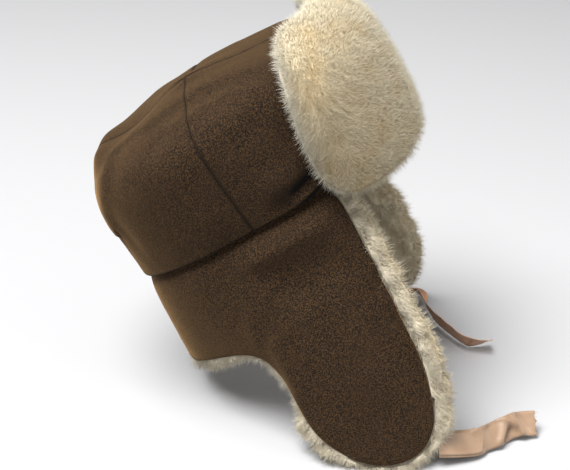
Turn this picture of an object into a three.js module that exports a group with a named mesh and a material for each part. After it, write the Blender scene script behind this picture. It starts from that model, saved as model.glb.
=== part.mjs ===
import * as THREE from 'three';

// A sheepskin hat with ear flaps, in millimetres. The hat frame has its origin in the middle of
// the join between the crown and the flaps: x runs to the wearer's left, y to the back, z up.
// A table's "front" and "back" are distances from that origin, and "along" is forward positive.

// Driving dimensions
const wornTilt = THREE.MathUtils.degToRad(31);
const crownCloth = 3;
const flapCloth = 2;
const visorCloth = 2;
const gap = 0.3;
const planPower = 2.3;
const crownTop = 113;

// The crown from its hem up to the soft crease that bounds its top. Each level gives how far it
// reaches to the back, front and side, and how high it lies there above the join.
const crownLevels = [
  { back: 121, front: 117, side: 88, riseBack: -4, riseFront: 0, riseSide: 7 },
  { back: 120, front: 118, side: 91, riseBack: 18, riseFront: 21, riseSide: 25 },
  { back: 119, front: 118, side: 93, riseBack: 43, riseFront: 46, riseSide: 47 },
  { back: 117, front: 118, side: 93, riseBack: 65, riseFront: 70, riseSide: 67 },
  { back: 110, front: 117, side: 91, riseBack: 83, riseFront: 87, riseSide: 84 },
  { back: 99, front: 114, side: 82, riseBack: 94, riseFront: 98, riseSide: 97 },
  { back: 86, front: 108, side: 61, riseBack: 98, riseFront: 105, riseSide: 105 },
  { back: 73, front: 99, side: 30, riseBack: 99, riseFront: 107, riseSide: 110 },
];
const crownRings = 13;
const crownSteps = 12;
const seamHalfGap = gap / 2;
const crownPoleHole = 0.003;
const normalStep = 0.003;
const flapNormalStep = 0.01;

// The flap panel, from the middle of the nape round to the front edge of an ear flap. "turn" is
// the angle round the join in degrees, and "across", "along" and "rise" place the hem below it.
// "belly" is how far the cloth swells outward half way down, and "fringe" is how far the wool
// stands past the hem.
const flapStations = [
  { turn: 0, across: 0, along: -136, rise: -98, belly: 0, fringe: 14 },
  { turn: 24, across: 44, along: -122, rise: -91, belly: 1, fringe: 14 },
  { turn: 44, across: 70, along: -98, rise: -85, belly: 2, fringe: 13 },
  { turn: 60, across: 91, along: -68, rise: -83, belly: 2, fringe: 10 },
  { turn: 70, across: 102, along: -50, rise: -90, belly: 1, fringe: 9 },
  { turn: 77, across: 111, along: -43, rise: -110, belly: 0, fringe: 14 },
  { turn: 84, across: 125, along: -43, rise: -137, belly: 1, fringe: 17 },
  { turn: 91, across: 135, along: -39, rise: -161, belly: 2, fringe: 16 },
  { turn: 98, across: 143, along: -23, rise: -189, belly: 3, fringe: 12 },
  { turn: 104, across: 147, along: 0, rise: -204, belly: 3, fringe: 10 },
  { turn: 110, across: 143, along: 25, rise: -209, belly: 3, fringe: 13 },
  { turn: 115, across: 135, along: 46, rise: -195, belly: 3, fringe: 16 },
  { turn: 119, across: 127, along: 57, rise: -168, belly: 2, fringe: 17 },
  { turn: 122, across: 119, along: 63, rise: -138, belly: 2, fringe: 17 },
];
const flapColumnsPerStation = 2;
const flapRows = 11;
const flapRowPower = 0.85;
const tuckedRise = 7;
const tuckClearance = 0.8;
const flapNeckDrop = 1.5;
const flapShoulder = { drop: 16, out: 1 };

// The wool inside the panel lies flat where the head presses it and deepens towards the hem.
const fleeceDepth = { top: 9, hem: 15 };
const fringeSection = [
  { out: 0.5, depth: 1.2 },
  { out: 0.92, depth: 3.4 },
  { out: 1, depth: 7.5 },
  { out: 0.82, depth: 12 },
  { out: 0.4, depth: 15.5 },
];
const fringeFullAt = 0.3;

// The visor is turned up against the front of the crown and follows its curve. Its section runs
// up its inner face and back down round the wool: "height" goes with the crown's own height,
// "out" is the distance from the crown, and "drop" lowers the wool that hangs below the join.
const visorEnd = { right: 57, left: 46 };
const visorWoolEnd = { right: 62, left: 51 };
const visorLean = { right: 14, left: 23 };
const visorSteps = 26;
const visorSeat = 0.9;
const visorMiddle = 0.36;
const visorTop = 0.71;
const visorHeights = [0.04, 0.15, 0.27, 0.39, 0.5, 0.58, 0.65, visorTop];
const visorWool = [
  ...visorHeights.map((height) => ({ out: 0, height, drop: 0 })),
  { out: 5, height: 0.76, drop: 0 },
  { out: 13, height: 0.78, drop: 0 },
  { out: 23, height: 0.7, drop: 0 },
  { out: 30, height: 0.56, drop: 0 },
  { out: 33, height: 0.4, drop: 0 },
  { out: 33, height: 0.24, drop: 0 },
  { out: 32, height: 0.08, drop: 0 },
  { out: 28, height: 0.02, drop: 10 },
  { out: 19, height: 0.02, drop: 17 },
  { out: 9, height: 0.02, drop: 12 },
];
const visorRoundEnds = { depthPower: 12, dropPower: 4, thinnest: 0.14, narrowed: 0.3 };

// The ties, as they lie below the flap tips: each row is a point of the ribbon's middle line in
// level axes from the join, and the lean of its width, 0 for flat and 90 for on edge.
const tieWidth = 21;
const tieThickness = 1;
const tieColumn = { right: 5, left: 6 };
const tieSeat = { out: 1, depth: 9 };
const tieClearance = 0.8;
const tieRootLean = { right: 50, left: 0 };
const tieStepsPerRow = 4;
const tieRight = [
  { forward: 172, side: 124, rise: -170, lean: 50 },
  { forward: 184, side: 117, rise: -170, lean: 56 },
  { forward: 196, side: 109, rise: -170, lean: 42 },
  { forward: 208, side: 100, rise: -170, lean: 54 },
  { forward: 218, side: 96, rise: -170, lean: 44 },
  { forward: 230, side: 94, rise: -171, lean: 52 },
];
const tieLeft = [
  { forward: 151, side: 131, rise: -174, lean: 6 },
  { forward: 155, side: 116, rise: -170.5, lean: 62 },
  { forward: 159, side: 95, rise: -170.5, lean: 88 },
  { forward: 164, side: 77, rise: -170.5, lean: 86 },
  { forward: 171, side: 63, rise: -170.5, lean: 84 },
  { forward: 179, side: 49, rise: -171, lean: 76 },
  { forward: 189, side: 36, rise: -172, lean: 62 },
  { forward: 200, side: 34, rise: -172, lean: 44 },
  { forward: 211, side: 34, rise: -170, lean: 32 },
];

const cloth = new THREE.MeshStandardMaterial({ color: 0x4e3f2f, roughness: 0.95, metalness: 0 });
const wool = new THREE.MeshStandardMaterial({ color: 0xdccfae, roughness: 1, metalness: 0 });
const satin = new THREE.MeshStandardMaterial({ color: 0xd6b498, roughness: 0.55, metalness: 0 });

// A smooth value of one column of a table, "place" rows along it. The table mirrors at row 0.
function column(rows, name, place) {
  const last = rows.length - 1;
  const clamped = Math.min(Math.max(place, 0), last);
  const index = Math.min(Math.floor(clamped), last - 1);
  const share = clamped - index;
  const at = (i) => {
    if (i > last) {
      return 2 * rows[last][name] - rows[last - 1][name];
    }
    return i < 0 ? mirroredStart(rows, name) : rows[i][name];
  };
  const [p0, p1, p2, p3] = [at(index - 1), at(index), at(index + 1), at(index + 2)];
  const bend = 2 * p0 - 5 * p1 + 4 * p2 - p3;
  const twist = 3 * (p1 - p2) + p3 - p0;
  return p1 + 0.5 * share * (p2 - p0 + share * (bend + share * twist));
}

function mirroredStart(rows, name) {
  const odd = name === 'across' || name === 'turn';
  return odd ? -rows[1][name] : rows[1][name];
}

// A value of a table's column with straight runs between its rows.
function straight(rows, name, place) {
  const index = Math.min(Math.max(Math.floor(place), 0), rows.length - 2);
  return THREE.MathUtils.lerp(rows[index][name], rows[index + 1][name], place - index);
}

// The point at an angle from the back on the rounded plan outline.
function planPoint(angle, reach, rise) {
  const rounded = (value) => Math.sign(value) * Math.abs(value) ** (2 / planPower);
  const length = Math.cos(angle) > 0 ? reach.back : reach.front;
  const ends = Math.cos(angle) ** 2;
  const riseAtEnd = Math.cos(angle) > 0 ? rise.back : rise.front;
  const z = rise.side + (riseAtEnd - rise.side) * ends;
  const [x, y] = [reach.side * rounded(Math.sin(angle)), length * rounded(Math.cos(angle))];
  return new THREE.Vector3(x, y, z);
}

// The crown's outer surface: angle from the back, and height from 0 at the hem to 1 at the top.
function crownPoint(angle, height) {
  const place = height * crownLevels.length;
  const last = crownLevels.length - 1;
  const level = (name) => column(crownLevels, name, Math.min(place, last));
  const shrink = place > last ? 1 - (place - last) : 1;
  const shrunk = (name) => level(name) * shrink;
  const reach = { back: shrunk('back'), front: shrunk('front'), side: shrunk('side') };
  const rise = { back: level('riseBack'), front: level('riseFront'), side: level('riseSide') };
  const point = planPoint(angle, reach, rise);
  point.z = THREE.MathUtils.lerp(crownTop, point.z, shrink);
  return point;
}

// The crown's outward normal.
function crownNormal(angle, height) {
  const around = crownPoint(angle + normalStep, height).sub(crownPoint(angle - normalStep, height));
  const upwards = crownPoint(angle, height + normalStep).sub(crownPoint(angle, height - normalStep));
  return upwards.cross(around).normalize();
}

// A closed mesh from rings of points, joined in order. Each end is closed by a strip across its
// ring, from the points before the ring's middle to those after it.
function meshOfRings(name, rings, material) {
  const count = rings[0].length;
  const faces = [];
  for (let ring = 0; ring < rings.length - 1; ring += 1) {
    for (let i = 0; i < count; i += 1) {
      const a = ring * count + i;
      const b = ring * count + ((i + 1) % count);
      faces.push(a, b, b + count, a, b + count, a + count);
    }
  }
  const last = (rings.length - 1) * count;
  for (let i = 0; i < count / 2 - 1; i += 1) {
    const [a, b, c, d] = [i, i + 1, count - 2 - i, count - 1 - i];
    faces.push(a, c, b, a, d, c);
    faces.push(last + a, last + b, last + c, last + a, last + c, last + d);
  }
  return meshOf(name, rings.flat(), faces, material);
}

// A wall between an outer and an inner grid of points, closed along all its edges.
function wallMesh(name, outer, inner, material, turned = false) {
  const rows = outer.length;
  const columns = outer[0].length;
  const points = [...outer.flat(), ...inner.flat()];
  const under = rows * columns;
  const faces = [];
  const quad = (a, b, c, d) => faces.push(...(turned ? [a, c, b, a, d, c] : [a, b, c, a, c, d]));
  for (let row = 0; row < rows - 1; row += 1) {
    for (let i = 0; i < columns - 1; i += 1) {
      const a = row * columns + i;
      quad(a, a + 1, a + columns + 1, a + columns);
      quad(a + under, a + columns + under, a + columns + 1 + under, a + 1 + under);
    }
  }
  for (let i = 0; i < columns - 1; i += 1) {
    const top = (rows - 1) * columns + i;
    quad(i + 1, i, i + under, i + 1 + under);
    quad(top, top + 1, top + 1 + under, top + under);
  }
  for (let row = 0; row < rows - 1; row += 1) {
    const a = row * columns;
    const b = a + columns - 1;
    quad(a, a + columns, a + columns + under, a + under);
    quad(b + columns, b, b + under, b + columns + under);
  }
  return meshOf(name, points, faces, material);
}

function meshOf(name, points, faces, material) {
  const geometry = new THREE.BufferGeometry().setFromPoints(points);
  geometry.setIndex(faces);
  geometry.computeVertexNormals();
  const mesh = new THREE.Mesh(geometry, material.clone());
  mesh.name = name;
  return mesh;
}

// One quarter of the crown, kept clear of both seam planes by half the gap.
function crownPanel(name, isFront, isRight) {
  const sideSign = isRight ? -1 : 1;
  const backSign = isFront ? -1 : 1;
  const outer = [];
  const inner = [];
  for (let ring = 0; ring <= crownRings; ring += 1) {
    const height = (ring / crownRings) * (1 - crownPoleHole);
    const outerRow = [];
    const innerRow = [];
    for (let step = 0; step <= crownSteps; step += 1) {
      const share = (step / crownSteps) * (Math.PI / 2);
      const angle = isFront ? Math.PI - share : share;
      const point = crownPoint(angle, height);
      const deep = point.clone().addScaledVector(crownNormal(angle, height), -crownCloth);
      for (const corner of [point, deep]) {
        corner.x = sideSign * Math.max(corner.x, seamHalfGap);
        corner.y = backSign * Math.max(backSign * corner.y, seamHalfGap);
      }
      outerRow.push(point);
      innerRow.push(deep);
    }
    outer.push(outerRow);
    inner.push(innerRow);
  }
  return wallMesh(name, outer, inner, cloth, isFront === isRight);
}

// The flap panel's outer surface: u from -1 at the right front edge over 0 at the nape to 1 at
// the left front edge, and v from 0 where it is tucked under the crown to 1 at the hem.
function flapPoint(u, v) {
  const place = Math.abs(u) * (flapStations.length - 1);
  const at = (name) => column(flapStations, name, place);
  const angle = THREE.MathUtils.degToRad(at('turn'));
  const hemOfCrown = crownPoint(angle, 0);
  const outward = new THREE.Vector3(hemOfCrown.x, hemOfCrown.y, 0).normalize();
  const inset = crownCloth + tuckClearance;
  const top = hemOfCrown.clone().addScaledVector(outward, -inset);
  const tucked = top.clone().setZ(top.z + tuckedRise);
  const neck = top.clone().setZ(top.z - flapNeckDrop);
  const shoulder = hemOfCrown.clone().addScaledVector(outward, flapShoulder.out);
  shoulder.z -= flapShoulder.drop;
  const hem = new THREE.Vector3(at('across'), -at('along'), at('rise'));
  const middle = shoulder.clone().lerp(hem, 0.5).addScaledVector(outward, at('belly'));
  const line = new THREE.CatmullRomCurve3([tucked, neck, shoulder, middle, hem], false, 'centripetal');
  const point = line.getPoint(flapRowPlace(v));
  point.x *= u < 0 ? -1 : 1;
  return point;
}

// Rows lie closer together towards the hem.
function flapRowPlace(v) {
  return v ** flapRowPower;
}

function flapNormal(u, v) {
  const [uLow, uHigh] = [Math.max(u - flapNormalStep, -1), Math.min(u + flapNormalStep, 1)];
  const [vLow, vHigh] = [Math.max(v - flapNormalStep, 0), Math.min(v + flapNormalStep, 1)];
  const alongU = flapPoint(uHigh, v).sub(flapPoint(uLow, v));
  const alongV = flapPoint(u, vHigh).sub(flapPoint(u, vLow));
  return alongU.cross(alongV).normalize();
}

const flapColumns = 2 * flapColumnsPerStation * (flapStations.length - 1);

function flapGrid(depthAt) {
  const grid = [];
  for (let row = 0; row <= flapRows; row += 1) {
    const v = row / flapRows;
    const line = [];
    for (let i = 0; i <= flapColumns; i += 1) {
      const u = (2 * i) / flapColumns - 1;
      line.push(flapPoint(u, v).addScaledVector(flapNormal(u, v), -depthAt(v)));
    }
    grid.push(line);
  }
  return grid;
}

function flapClothMesh() {
  return wallMesh('flap_cloth', flapGrid(() => 0), flapGrid(() => flapCloth), cloth);
}

// The free edge of the panel, from the right front edge's top round the hem to the left one.
// Each place has the surface point, its normal and the direction that points off the panel.
function freeEdge() {
  const places = [];
  for (let row = 1; row < flapRows; row += 1) {
    places.push({ i: 0, row });
  }
  for (let i = 0; i <= flapColumns; i += 1) {
    places.push({ i, row: flapRows });
  }
  for (let row = flapRows - 1; row >= 1; row -= 1) {
    places.push({ i: flapColumns, row });
  }
  const edge = places.map(({ i, row }) => {
    const u = (2 * i) / flapColumns - 1;
    const v = row / flapRows;
    const width = column(flapStations, 'fringe', Math.abs(u) * (flapStations.length - 1));
    return { i, row, v, width, point: flapPoint(u, v), normal: flapNormal(u, v) };
  });
  edge.forEach((place, k) => {
    const before = edge[Math.max(k - 1, 0)].point;
    const after = edge[Math.min(k + 1, edge.length - 1)].point;
    place.off = place.normal.clone().cross(after.clone().sub(before)).normalize();
    place.width *= THREE.MathUtils.smoothstep(place.v, 0, fringeFullAt);
  });
  return edge;
}

function fringePoint(place, section) {
  const point = place.point.clone().addScaledVector(place.off, place.width * section.out);
  return point.addScaledVector(place.normal, -section.depth);
}

// The wool inside the panel: an outer and an inner face like the cloth's, joined round the free
// edge by the rounded fringe.
function flapFleeceMesh() {
  const touching = flapCloth + gap;
  const outer = flapGrid(() => touching);
  const inner = flapGrid((v) => touching + THREE.MathUtils.lerp(fleeceDepth.top, fleeceDepth.hem, v));
  const columns = flapColumns + 1;
  const under = columns * (flapRows + 1);
  const points = [...outer.flat(), ...inner.flat()];
  const faces = [];
  const quad = (a, b, c, d) => faces.push(a, b, c, a, c, d);
  for (let row = 0; row < flapRows; row += 1) {
    for (let i = 0; i < flapColumns; i += 1) {
      const a = row * columns + i;
      quad(a, a + 1, a + columns + 1, a + columns);
      quad(a + under, a + columns + under, a + columns + 1 + under, a + 1 + under);
    }
  }
  for (let i = 0; i < flapColumns; i += 1) {
    quad(i + 1, i, i + under, i + 1 + under);
  }
  const loops = freeEdge().map((place) => {
    const start = place.row * columns + place.i;
    const loop = [start];
    for (const section of fringeSection) {
      loop.push(points.push(fringePoint(place, section)) - 1);
    }
    loop.push(start + under);
    return loop;
  });
  const topRight = [0, under];
  const topLeft = [flapColumns, flapColumns + under];
  for (let k = 0; k < loops.length - 1; k += 1) {
    for (let j = 0; j < loops[k].length - 1; j += 1) {
      quad(loops[k][j + 1], loops[k][j], loops[k + 1][j], loops[k + 1][j + 1]);
    }
  }
  closeTop(faces, topRight, loops[0], false);
  closeTop(faces, topLeft, loops[loops.length - 1], true);
  return meshOf('flap_fleece', points, faces, wool);
}

// The fringe ends in a fan at the tucked corner of the panel.
function closeTop(faces, [outerCorner, innerCorner], loop, turned) {
  const add = (a, b, c) => faces.push(...(turned ? [a, c, b] : [a, b, c]));
  for (let j = 0; j < loop.length - 1; j += 1) {
    add(outerCorner, loop[j], loop[j + 1]);
  }
  add(outerCorner, loop[loop.length - 1], innerCorner);
}

// A point beside the crown's front. "share" runs from 1 at the visor's right end to -1 at its left
// end, and both ends lean forward towards the visor's top.
function visorPoint(share, ends, out, height, drop) {
  const end = share > 0 ? ends.right : ends.left;
  const lean = share > 0 ? visorLean.right : visorLean.left;
  const turn = Math.PI + THREE.MathUtils.degToRad(share * (end - lean * (height / visorTop) ** 2));
  const point = crownPoint(turn, height).addScaledVector(crownNormal(turn, height), out);
  point.z -= drop;
  return point;
}

function visorClothMesh() {
  const layer = (out) => visorHeights.map((height) => {
    const line = [];
    for (let step = 0; step <= visorSteps; step += 1) {
      line.push(visorPoint(1 - (2 * step) / visorSteps, visorEnd, out, height, 0));
    }
    return line;
  });
  return wallMesh('visor_cloth', layer(visorSeat + visorCloth), layer(visorSeat), cloth);
}

// The wool bulges most in the middle and rounds off at both ends.
function visorFleeceMesh() {
  const lift = visorSeat + visorCloth + 2 * gap;
  const { depthPower, dropPower, thinnest, narrowed } = visorRoundEnds;
  const rings = [];
  for (let step = 0; step <= visorSteps; step += 1) {
    const share = Math.sin((1 - (2 * step) / visorSteps) * (Math.PI / 2));
    const fullness = Math.max(Math.sqrt(1 - share ** depthPower), thinnest);
    const widened = 1 - narrowed * (1 - fullness);
    rings.push(visorWool.map((point) => {
      const height = THREE.MathUtils.lerp(visorMiddle, point.height, widened);
      const drop = point.drop * (1 - share ** dropPower);
      return visorPoint(share, visorWoolEnd, lift + point.out * fullness, height, drop);
    }));
  }
  return meshOfRings('visor_fleece', rings, wool);
}

// A ribbon through the rows of its table, starting at the fringe of its flap's tip.
function tieMesh(name, rows, isRight) {
  const side = isRight ? -1 : 1;
  const root = tieRoot(isRight);
  const points = rows.map((row) => new THREE.Vector3(side * row.side, -row.forward, row.rise));
  const leans = [{ lean: isRight ? tieRootLean.right : tieRootLean.left }, ...rows];
  const line = new THREE.CatmullRomCurve3([root, ...points], false, 'centripetal');
  const steps = tieStepsPerRow * rows.length;
  const rings = [];
  for (let step = 0; step <= steps; step += 1) {
    const share = step / steps;
    const centre = line.getPoint(share);
    const forward = line.getTangent(share);
    const lean = THREE.MathUtils.degToRad(straight(leans, 'lean', share * rows.length));
    const level = new THREE.Vector3(forward.y, -forward.x, 0).normalize();
    const across = level.clone().applyAxisAngle(forward, isRight ? lean : -lean);
    const up = across.clone().cross(forward).normalize();
    const corner = (a, b) => centre.clone().addScaledVector(across, a).addScaledVector(up, b);
    const w = tieWidth / 2;
    const t = tieThickness / 2;
    rings.push([corner(-w, t), corner(w, t), corner(w, -t), corner(-w, -t)]);
  }
  return meshOfRings(name, rings, satin);
}

// A point just beyond the fringe at the flap's tip, in level axes.
function tieRoot(isRight) {
  const tipColumn = isRight ? tieColumn.right : tieColumn.left;
  const tip = freeEdge().find((place) => place.row === flapRows && place.i === tipColumn);
  const root = fringePoint(tip, tieSeat).addScaledVector(tip.off, tieClearance);
  root.applyAxisAngle(new THREE.Vector3(1, 0, 0), -wornTilt);
  root.x *= isRight ? 1 : -1;
  return root;
}

const worn = new THREE.Group();
worn.rotation.x = -wornTilt;
worn.add(
  crownPanel('crown_front_right', true, true),
  crownPanel('crown_front_left', true, false),
  crownPanel('crown_back_right', false, true),
  crownPanel('crown_back_left', false, false),
  flapClothMesh(),
  flapFleeceMesh(),
  visorClothMesh(),
  visorFleeceMesh(),
);

// The hat hangs on the inside of the crown's top, which is the origin of the whole.
const seat = new THREE.Vector3(0, 0, crownTop - crownCloth);
seat.applyAxisAngle(new THREE.Vector3(1, 0, 0), -wornTilt);
const hat = new THREE.Group();
hat.position.copy(seat).negate();
hat.add(worn, tieMesh('tie_right', tieRight, true), tieMesh('tie_left', tieLeft, false));

export default hat;
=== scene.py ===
# %% [markdown]
# # A sheepskin hat with ear flaps
#
# The hat is shown as it is worn: the crown leans forward, the visor is turned up against it and
# the ear flaps hang beside the face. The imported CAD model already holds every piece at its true
# size and place, so this script only gives the pieces their fine shape and their finish.
# In the frame x runs to the wearer's left, y to the back and z up, in metres.

# %% Load the frame
import math
import random

import bmesh
import bpy
from mathutils import Matrix, Vector, noise
from mathutils.bvhtree import BVHTree


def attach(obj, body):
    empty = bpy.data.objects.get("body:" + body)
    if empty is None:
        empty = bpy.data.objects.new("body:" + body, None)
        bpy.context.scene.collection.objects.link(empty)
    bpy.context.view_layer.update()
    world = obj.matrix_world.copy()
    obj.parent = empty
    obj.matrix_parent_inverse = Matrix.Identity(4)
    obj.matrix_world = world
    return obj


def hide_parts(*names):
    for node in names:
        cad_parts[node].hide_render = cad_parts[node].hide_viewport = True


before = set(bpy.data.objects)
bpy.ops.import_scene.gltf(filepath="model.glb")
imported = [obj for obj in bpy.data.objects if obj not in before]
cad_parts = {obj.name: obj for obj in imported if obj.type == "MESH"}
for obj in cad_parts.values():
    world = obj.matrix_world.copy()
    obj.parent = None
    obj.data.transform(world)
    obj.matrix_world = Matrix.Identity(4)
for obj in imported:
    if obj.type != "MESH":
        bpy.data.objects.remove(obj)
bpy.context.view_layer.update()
MM = 0.001
print("nodes", sorted(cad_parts))

# %% [markdown]
# ## The camera
#
# A camera is a place, a direction and a focal length. The photograph was taken with a long lens
# from the wearer's right and from above. A focal length in pixels becomes one in millimetres
# when it is divided by the picture's width and multiplied by the width of the sensor.

# %% Camera
PHOTO_WIDTH = 570
FOCAL_PIXELS = 1250
SENSOR_WIDTH = 36
LOOK_AT = Vector((0, -77.4, -137)) * MM
CAMERA_DISTANCE = 1068.9 * MM
CAMERA_RISE = math.radians(27.2)


def link(thing):
    """Puts an object in the scene and returns it."""
    bpy.context.scene.collection.objects.link(thing)
    return thing


towards_camera = Vector((-math.cos(CAMERA_RISE), 0, math.sin(CAMERA_RISE)))
camera_data = bpy.data.cameras.new("camera")
camera_data.sensor_width = SENSOR_WIDTH
camera_data.lens = FOCAL_PIXELS / PHOTO_WIDTH * SENSOR_WIDTH
camera = link(bpy.data.objects.new("camera", camera_data))
camera.location = LOOK_AT + CAMERA_DISTANCE * towards_camera
camera.rotation_euler = (-towards_camera).to_track_quat("-Z", "Y").to_euler()
bpy.context.scene.camera = camera
print("camera lens", round(camera_data.lens, 2), "mm at", [round(v, 3) for v in camera.location])

# %% [markdown]
# ## Floor and light
#
# In the photograph the hat stands on pale paper in soft studio light. Square area lights play the
# softboxes. The key hangs above and behind the hat, on the camera's side, and rakes over the
# cloth so that its folds show. A small one in front lifts the wool, and a dim even world fills
# the shadows. A floor plane much larger than the view needs no backdrop.

# %% Floor
FLOOR_HEIGHT = -276.5 * MM
FLOOR_REACH = 6
FLOOR_GREY = (165, 165, 166)
FLOOR_ROUGHNESS = 0.7


def material_with_shader(name):
    """A new material, its node tree and its Principled shader."""
    material = bpy.data.materials.new(name)
    material.use_nodes = True
    return material, material.node_tree, material.node_tree.nodes["Principled BSDF"]


def srgb(red, green, blue):
    """A linear colour from display values of 0 to 255."""
    def linear(value):
        share = value / 255
        return share / 12.92 if share <= 0.04045 else ((share + 0.055) / 1.055) ** 2.4
    return (linear(red), linear(green), linear(blue), 1)


def mesh_from(bm, name):
    """Turns a finished bmesh into a new mesh, and frees it."""
    mesh = bpy.data.meshes.new(name)
    bm.to_mesh(mesh)
    bm.free()
    return mesh


floor_bm = bmesh.new()
bmesh.ops.create_grid(floor_bm, x_segments=1, y_segments=1, size=FLOOR_REACH)
bmesh.ops.translate(floor_bm, verts=floor_bm.verts, vec=(0, 0, FLOOR_HEIGHT))
floor_mesh = mesh_from(floor_bm, "floor")
floor = link(bpy.data.objects.new("floor", floor_mesh))
floor_material, _, floor_shader = material_with_shader("floor_paper")
floor_shader.inputs["Base Color"].default_value = srgb(*FLOOR_GREY)
floor_shader.inputs["Roughness"].default_value = FLOOR_ROUGHNESS
floor_mesh.materials.append(floor_material)
print("floor at", round(FLOOR_HEIGHT / MM, 1), "mm")

# %% Lights
LIGHT_AIM = Vector((0, -0.05, -0.1))
WORLD_STRENGTH = 0.36
SOFTBOXES = [
    # name, place and size in metres, and power in watts
    ("softbox_key", Vector((-0.75, 0.8, 2.4)), 1.6, 220),
    ("softbox_front", Vector((-0.5, -1.4, 0.5)), 1.2, 12),
]
for name, place, size, power in SOFTBOXES:
    light = bpy.data.lights.new(name, "AREA")
    light.shape = "SQUARE"
    light.size = size
    light.energy = power
    lamp = link(bpy.data.objects.new(name, light))
    lamp.location = place
    lamp.rotation_euler = (LIGHT_AIM - place).to_track_quat("-Z", "Y").to_euler()
world = bpy.data.worlds.new("studio")
world.use_nodes = True
world.node_tree.nodes["Background"].inputs["Color"].default_value = (1, 1, 1, 1)
world.node_tree.nodes["Background"].inputs["Strength"].default_value = WORLD_STRENGTH
bpy.context.scene.world = world
bpy.context.scene.view_settings.view_transform = "Standard"
print("lights", len(SOFTBOXES), "softboxes and an even world")

# %% [markdown]
# ## The cloth
#
# The crown, the flaps and the visor's back are cut from one cloth: wool yarns of a dark and a
# light brown, fulled until the weave is hidden. It could be an image of cloth wrapped on the
# pieces, but noise in object coordinates needs no image and no seams between pictures. A node
# group finds where the light flecks, the fibres and the worn patches lie, and puts out only
# such masks and heights. The colours and the shader stay in the material.


# %% Small helpers for node trees
def add_node(tree, kind, inputs=None, **settings):
    """A node with its settings, and its inputs set to values or linked to other nodes' outputs."""
    node = tree.nodes.new(kind)
    for name, value in settings.items():
        setattr(node, name, value)
    for name, value in (inputs or {}).items():
        socket = node.inputs[name]
        if isinstance(value, bpy.types.NodeSocket):
            tree.links.new(value, socket)
        else:
            socket.default_value = value
    return node


def mix_colour(tree, share, first, second):
    """The output of a node that mixes two colours, each a value or another node's output."""
    node = add_node(tree, "ShaderNodeMix", {
        "Factor": share, "A": first, "B": second}, data_type="RGBA")
    return node.outputs["Result"]


def reckon(tree, operation, *values, **settings):
    """The output of a Math node on values or on other nodes' outputs."""
    inputs = dict(enumerate(values))
    return add_node(tree, "ShaderNodeMath", inputs, operation=operation, **settings).outputs[0]


def new_group(name, inputs, outputs, kind="ShaderNodeTree"):
    """A node group with sockets of (name, socket type, default)."""
    group = bpy.data.node_groups.new(name, kind)
    for label, socket_type, default in inputs:
        socket = group.interface.new_socket(label, in_out="INPUT", socket_type=socket_type)
        if default is not None:
            socket.default_value = default
    for label, socket_type in outputs:
        group.interface.new_socket(label, in_out="OUTPUT", socket_type=socket_type)
    return group, group.nodes.new("NodeGroupInput"), group.nodes.new("NodeGroupOutput")


# %% Melange wool
FLECK_RANGE = {"From Min": 0.47, "From Max": 0.58}
FIBRE_RANGE = {"From Min": 0.56, "From Max": 0.74}
FIBRE_SHARE = 0.3
GRAIN_SHARE = 0.75
FIBRE_WAYS = [
    # turn in radians, and the scale of the noise along x, y and z, which is low along a fibre
    (0.7, (2600, 500, 500)),
    (2.1, (500, 2600, 500)),
    (4.0, (500, 500, 2600)),
]


def make_melange_group():
    """Flecks of light and dark fibre: Fleck, Height and Patch come out, each from 0 to 1."""
    group, given, result = new_group(
        "melange_wool",
        [("Grain", "NodeSocketFloat", 950.0)],
        [("Fleck", "NodeSocketFloat"), ("Height", "NodeSocketFloat"), ("Patch", "NodeSocketFloat")])
    place = add_node(group, "ShaderNodeTexCoord").outputs["Object"]
    coarse = add_node(group, "ShaderNodeTexNoise", {
        "Vector": place, "Scale": given.outputs["Grain"], "Detail": 2.0, "Roughness": 0.7})
    stretched = []
    for turn, stretch in FIBRE_WAYS:
        turned = add_node(group, "ShaderNodeMapping", {
            "Vector": place, "Rotation": (turn, turn * 0.6, turn * 0.3), "Scale": stretch})
        fibres = add_node(group, "ShaderNodeTexNoise", {
            "Vector": turned.outputs["Vector"], "Scale": 1.0, "Detail": 2.0, "Roughness": 0.6})
        stretched.append(fibres.outputs["Fac"])
    fibre = stretched[0]
    for other in stretched[1:]:
        fibre = reckon(group, "MAXIMUM", fibre, other)
    light_fibre = add_node(group, "ShaderNodeMapRange", {"Value": fibre, **FIBRE_RANGE})
    grain = add_node(group, "ShaderNodeMapRange", {"Value": coarse.outputs["Fac"], **FLECK_RANGE})
    fleck = reckon(group, "MULTIPLY", grain.outputs[0], GRAIN_SHARE)
    fleck_sum = reckon(group, "MULTIPLY_ADD", light_fibre.outputs[0], FIBRE_SHARE, fleck)
    patch = add_node(group, "ShaderNodeTexNoise", {
        "Vector": place, "Scale": 26.0, "Detail": 3.0, "Roughness": 0.55})
    group.links.new(fleck_sum, result.inputs["Fleck"])
    group.links.new(fibre, result.inputs["Height"])
    group.links.new(patch.outputs["Fac"], result.inputs["Patch"])
    return group


melange_group = make_melange_group()
print("group", melange_group.name, "with", len(melange_group.nodes), "nodes")


# %% Brown wool cloth
WORN_PATCH = {"From Min": 0.42, "From Max": 0.75, "To Max": 0.35}
NAP_SHEEN = {"To Min": 0.35, "To Max": 0.0}


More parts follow.
